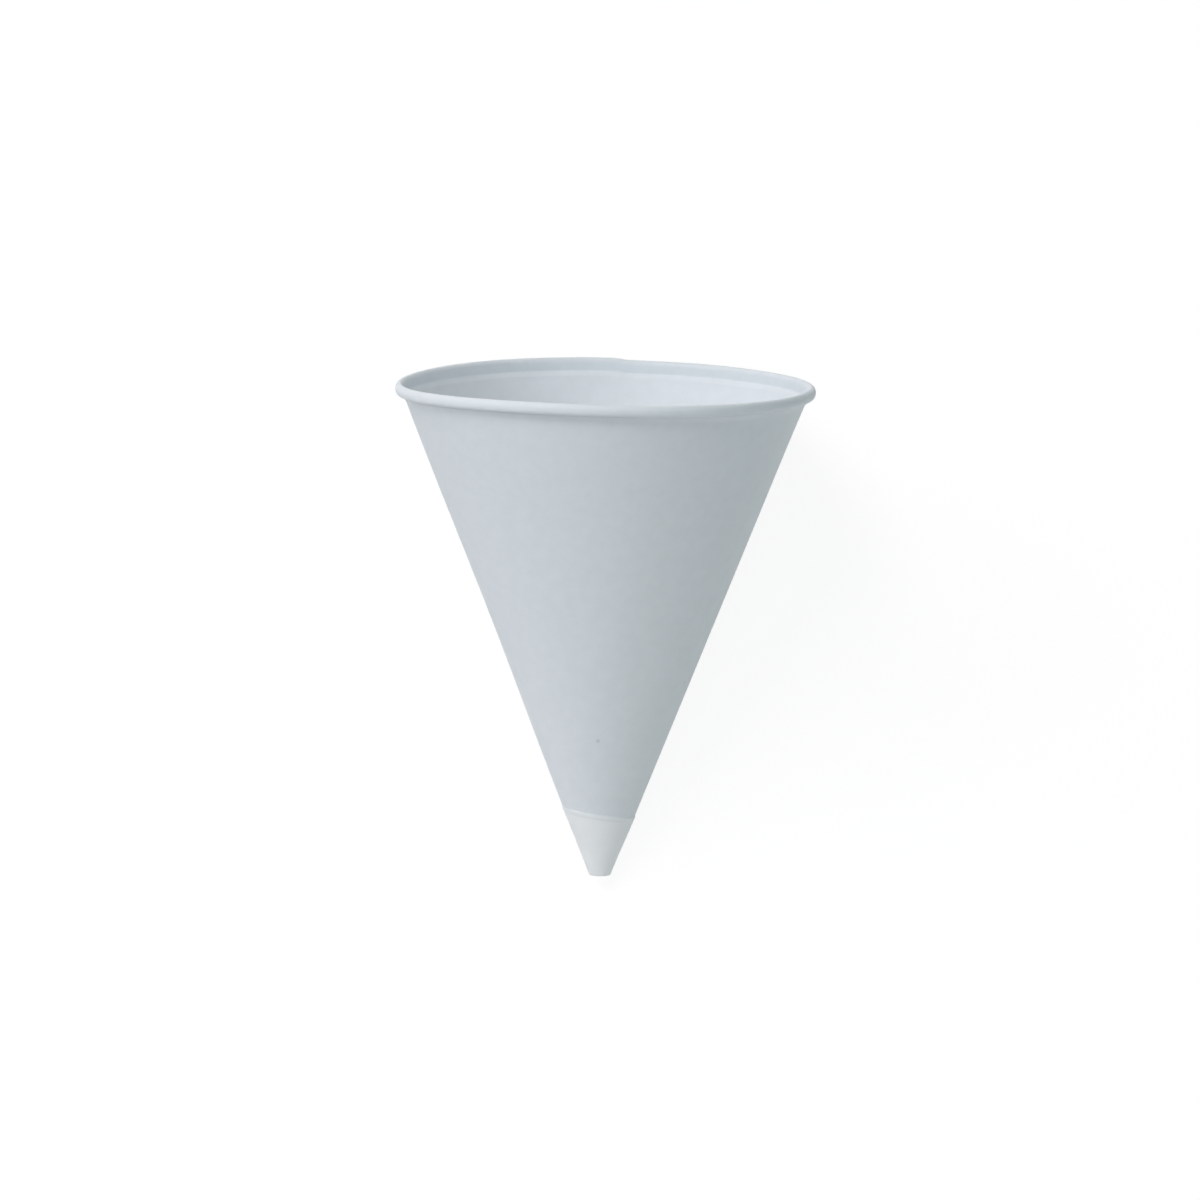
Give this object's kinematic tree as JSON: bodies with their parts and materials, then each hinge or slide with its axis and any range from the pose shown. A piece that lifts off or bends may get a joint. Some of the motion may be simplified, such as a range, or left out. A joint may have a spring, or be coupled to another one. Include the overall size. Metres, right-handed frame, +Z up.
{
  "type": "cone paper cup",
  "caption": "White paper drinking cup: a tall cone with a blunt pressed point, a glued lap seam and a rolled rim, lying on its side.",
  "frame": {"origin": "on the surface that the cup lies on, under the middle of its bounding box", "axes": "+X towards the mouth, +Z up; the cup's own axis leans 22.2 degrees up from +X, in the XZ plane"},
  "size_m": [0.0954, 0.074, 0.0689],
  "materials": {
    "paper": "matt, lightly sized white cup paper with a faint cool cast and fine fibre mottle"
  },
  "bodies": {
    "root": {"cone_cup": "paper"}
  },
  "joints": []
}
